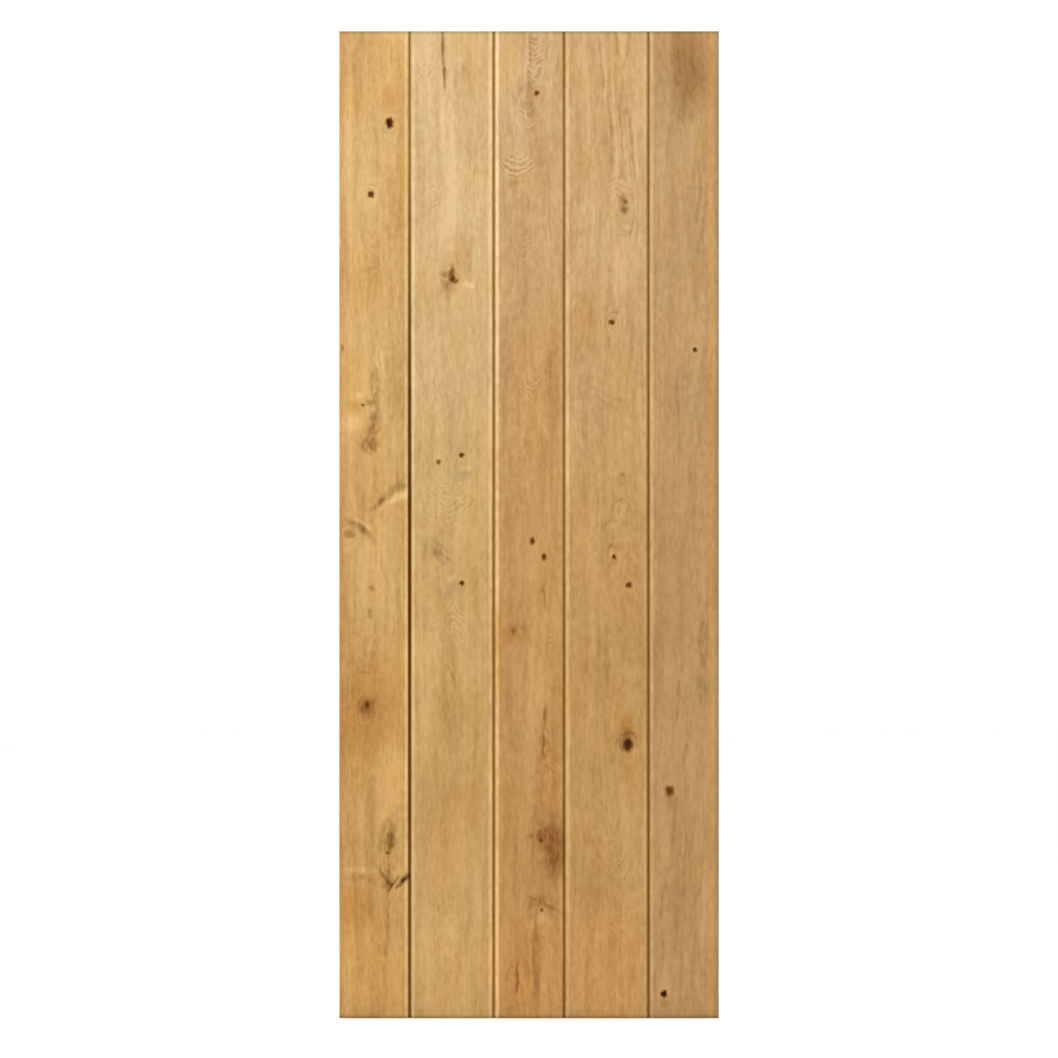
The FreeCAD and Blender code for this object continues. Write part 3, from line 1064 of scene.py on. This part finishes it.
def board_mesh(name, outline, knots, splits):
    """A board with its knot holes and splits sunk into the face, soft arrises and eased ends."""
    hollows = [knot for knot in knots if KNOT_KINDS[knot.kind].depth > 0]
    across_spots, up_spots = fine_spots(hollows, splits)
    section = section_points(outline, across_spots)
    heights = row_heights(up_spots)
    points = board_points(section, heights, hollows, splits) * MM
    mesh = bpy.data.meshes.new(name)
    mesh.from_pydata(points.tolist(), [], grid_faces(len(heights), len(section)))
    mesh.validate()
    mesh.polygons.foreach_set("use_smooth", [True] * len(mesh.polygons))
    mesh.set_sharp_from_angle(angle=SHARP_ANGLE)
    lay_out_map(mesh, section, heights)
    return mesh


def in_scene(name, data):
    """A new object in the scene."""
    piece = bpy.data.objects.new(name, data)
    bpy.context.scene.collection.objects.link(piece)
    return piece


def make_board(node, number):
    """One board of the door. Returns where its face begins and ends across the door."""
    outline = with_soft_arrises(outline_of(node))
    face_xs = [x for x, y in outline if abs(y - FACE) < TOUCH]
    left = min(face_xs)
    right = max(face_xs)
    splits = board_splits(left, right)
    features = board_features(left, right, splits)
    mesh = board_mesh(node, outline, features.knots, splits)
    board = in_scene(node.replace("board", "oak_board"), mesh)

    grain = BOARD_GRAIN[node]
    grain = grain._replace(heart_x=(left + right) / 2 + grain.heart_x)
    joints = [None, *JOINTS, None]
    edges = Edges(left, right, joints[number - 1], joints[number])
    mesh.materials.append(oak(node + "_oak", grain, (0, 0, 0), Vector((0, 0, 1)), features, edges))
    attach(board, "root")
    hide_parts(node)
    return left, right


# Ledges and braces

SOFT_EDGE = 1.0
SOFT_EDGE_STEPS = 2
SOFT_EDGE_ANGLE = math.radians(30)
PLUG_RADIUS = 5.0
PLUG_SINK = 0.15
PLUG_EASING = 0.35
PLUG_SIDES = 32
PLUG_TURN = math.radians(14)
BORE_RADIUS = 5.25
BORE_DEPTH = 1.5
BORE_OVERSHOOT = 1.0
LEDGE_PLUG_ROW = 32.0
LEDGE_PLUG_SPREAD = 0.22

# Where a brace's plugs come: shares of its half length along it, and which side of its middle line
BRACE_PLUGS = [(-1.0, -1), (-0.75, -1), (-0.5, 1), (-0.14, -1), (0.14, 1), (0.5, -1), (0.75, 1), (1.0, 1)]
BRACE_PLUG_REACH = 402.0
BRACE_PLUG_ASIDE = 28.0


def longest_edge(node):
    """The direction of a CAD piece's longest edge, up or to the right."""
    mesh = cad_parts[node].data
    ends = [[mesh.vertices[index].co for index in edge.vertices] for edge in mesh.edges]
    level = [end - start for start, end in ends if abs(end.y - start.y) < TOUCH * MM]
    run = max(level, key=lambda way: way.length).normalized()
    return run if run.x > 0 else -run


def ledge_plugs(node, faces):
    """The middles of a ledge's plugs: two to a board, staggered, in millimetres."""
    low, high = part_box(node)
    middle = (low.z + high.z) / 2 / MM
    plugs = []
    for number, (left, right) in enumerate(faces):
        for side in (-1, 1):
            row = side if number % 2 else -side
            x = (left + right) / 2 + side * LEDGE_PLUG_SPREAD * (right - left)
            plugs.append((x, middle + row * LEDGE_PLUG_ROW))
    return plugs


def brace_plugs(node, along):
    """The middles of a brace's plugs, in millimetres."""
    low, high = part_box(node)
    middle = (low + high) / 2 / MM
    aside = Vector((along.z, 0, -along.x))
    plugs = []
    for share, side in BRACE_PLUGS:
        place = middle + along * share * BRACE_PLUG_REACH + aside * side * BRACE_PLUG_ASIDE
        plugs.append((place.x, place.z))
    return plugs


def add_disc(shape, x, z, rings):
    """Adds a round block that stands along Y. Each ring is a radius and a place along Y."""
    circles = []
    for radius, y in rings:
        angles = (2 * math.pi * side / PLUG_SIDES for side in range(PLUG_SIDES))
        points = [(x + radius * math.cos(angle), y, z + radius * math.sin(angle)) for angle in angles]
        circles.append([shape.verts.new(Vector(point) * MM) for point in points])
    for lower, upper in zip(circles, circles[1:]):
        for side in range(PLUG_SIDES):
            after = (side + 1) % PLUG_SIDES
            shape.faces.new((lower[side], upper[side], upper[after], lower[after]))
    shape.faces.new(circles[0])
    shape.faces.new(reversed(circles[-1]))


def discs(name, middles, rings):
    """A piece of round blocks, one at each middle."""
    shape = bmesh.new()
    for x, z in middles:
        add_disc(shape, x, z, rings)
    bmesh.ops.recalc_face_normals(shape, faces=shape.faces)
    mesh = bpy.data.meshes.new(name)
    shape.to_mesh(mesh)
    shape.free()
    return in_scene(name, mesh)


def soften(piece):
    """Takes the sharpness off a CAD piece's edges."""
    weld = piece.modifiers.new("weld", "WELD")
    weld.merge_threshold = TOUCH * MM
    bevel = piece.modifiers.new("soft_edges", "BEVEL")
    bevel.width = SOFT_EDGE * MM
    bevel.segments = SOFT_EDGE_STEPS
    bevel.limit_method = "ANGLE"
    bevel.angle_limit = SOFT_EDGE_ANGLE


def bored(node, bores):
    """A copy of a CAD piece with soft edges and with bores cut into it."""
    piece = in_scene("oak_" + node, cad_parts[node].data.copy())
    soften(piece)
    cut = piece.modifiers.new("bores", "BOOLEAN")
    cut.operation = "DIFFERENCE"
    cut.solver = "EXACT"
    cut.object = bores
    shaped = piece.evaluated_get(bpy.context.evaluated_depsgraph_get())
    mesh = bpy.data.meshes.new_from_object(shaped)
    piece.modifiers.clear()
    piece.data = mesh
    bpy.data.objects.remove(bores)
    return piece


def make_back_piece(node, along, plugs):
    """A ledge or brace, bored for the plugs over its screws, and the plugs in it."""
    low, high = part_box(node)
    back = high.y / MM
    middle = tuple((low + high) / 2 / MM)
    floor = back - BORE_DEPTH
    bores = discs(node + "_bores", plugs, [(BORE_RADIUS, floor), (BORE_RADIUS, back + BORE_OVERSHOOT)])
    timber = bored(node, bores)
    knots = [Knot(*row) for row in BACK_KNOTS[node]]
    smears = [Smear(*row) for row in BACK_SMEARS[node]]
    features = Features(knots, [], [], smears, [], [])
    timber.data.materials.clear()
    timber.data.materials.append(oak(node + "_oak", BACK_GRAIN[node], middle, along, features))
    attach(timber, "root")
    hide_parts(node)

    top = back - PLUG_SINK
    rings = [(PLUG_RADIUS, floor), (PLUG_RADIUS, top - PLUG_EASING), (PLUG_RADIUS - PLUG_EASING, top)]
    filled = discs(node + "_plugs", plugs, rings)
    turned = Matrix.Rotation(PLUG_TURN, 3, "Y") @ along
    plain = Features([], [], [], [], [], [])
    filled.data.materials.append(oak(node + "_plug_oak", PLUG_GRAIN, middle, turned, plain))
    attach(filled, "root")


# Studio

CAMERA_DISTANCE = 20.0
SENSOR_WIDTH = 36.0
WORLD_WHITE = (1.0, 1.0, 1.0, 1.0)
WORLD_STRENGTH = 1.08
FLOOR_WHITE = (0.92, 0.92, 0.92, 1.0)
FLOOR_ROUGHNESS = 0.9
FLOOR_RADIUS = 30.0
FLOOR_SIDES = 96
FLOOR_DROP = 0.5

# Places in metres, and power in watts
Light = namedtuple("Light", "place target size power")
LIGHTS = {
    "key_light": Light((-1.8, -3.0, 3.6), (DOOR_WIDTH / 2 * MM, 0, 1.4), 1.6, 50),
    "top_light": Light((0.4, -0.4, 5.0), (0.4, -0.2, 0), 5.0, 120),
}


def make_camera():
    """A camera that frames the door as the photograph does."""
    camera = in_scene("photo_camera", bpy.data.cameras.new("photo_camera"))
    door_middle_x = (PHOTO_LEFT + PHOTO_RIGHT) / 2
    door_middle_y = (PHOTO_TOP + PHOTO_BOTTOM) / 2
    x = DOOR_WIDTH / 2 + (PHOTO_SIDE / 2 - door_middle_x) * PIXEL
    z = DOOR_HEIGHT / 2 - (PHOTO_SIDE / 2 - door_middle_y) * PIXEL
    camera.location = (x * MM, FACE * MM - CAMERA_DISTANCE, z * MM)
    camera.rotation_euler = (math.radians(90), 0, 0)
    camera.data.sensor_width = SENSOR_WIDTH
    camera.data.lens = SENSOR_WIDTH * CAMERA_DISTANCE / (PHOTO_SIDE * PIXEL * MM)
    camera.data.clip_end = 4 * CAMERA_DISTANCE
    bpy.context.scene.camera = camera


def make_lights():
    for name, light in LIGHTS.items():
        lamp = in_scene(name, bpy.data.lights.new(name, "AREA"))
        lamp.data.size = light.size
        lamp.data.energy = light.power
        lamp.location = light.place
        way = Vector(light.target) - Vector(light.place)
        lamp.rotation_euler = way.to_track_quat("-Z", "Y").to_euler()


def make_floor():
    mesh = bpy.data.meshes.new("studio_floor")
    shape = bmesh.new()
    bmesh.ops.create_circle(shape, cap_ends=True, radius=FLOOR_RADIUS, segments=FLOOR_SIDES)
    shape.to_mesh(mesh)
    shape.free()
    floor = in_scene("studio_floor", mesh)
    floor.location.z = -FLOOR_DROP * MM
    material = bpy.data.materials.new("studio_white")
    material.use_nodes = True
    shader = material.node_tree.nodes["Principled BSDF"]
    shader.inputs["Base Color"].default_value = FLOOR_WHITE
    shader.inputs["Roughness"].default_value = FLOOR_ROUGHNESS
    mesh.materials.append(material)


def make_world():
    world = bpy.data.worlds.new("studio")
    world.use_nodes = True
    background = world.node_tree.nodes["Background"]
    background.inputs["Color"].default_value = WORLD_WHITE
    background.inputs["Strength"].default_value = WORLD_STRENGTH
    bpy.context.scene.world = world
    bpy.context.scene.view_settings.view_transform = "Standard"


board_faces = [make_board(node, number) for number, node in enumerate(sorted(BOARD_GRAIN), 1)]
for name in ("bottom_ledge", "middle_ledge", "top_ledge"):
    make_back_piece(name, Vector((1, 0, 0)), ledge_plugs(name, board_faces))
for name in ("lower_brace", "upper_brace"):
    along = longest_edge(name)
    make_back_piece(name, along, brace_plugs(name, along))
make_world()
make_floor()
make_lights()
make_camera()
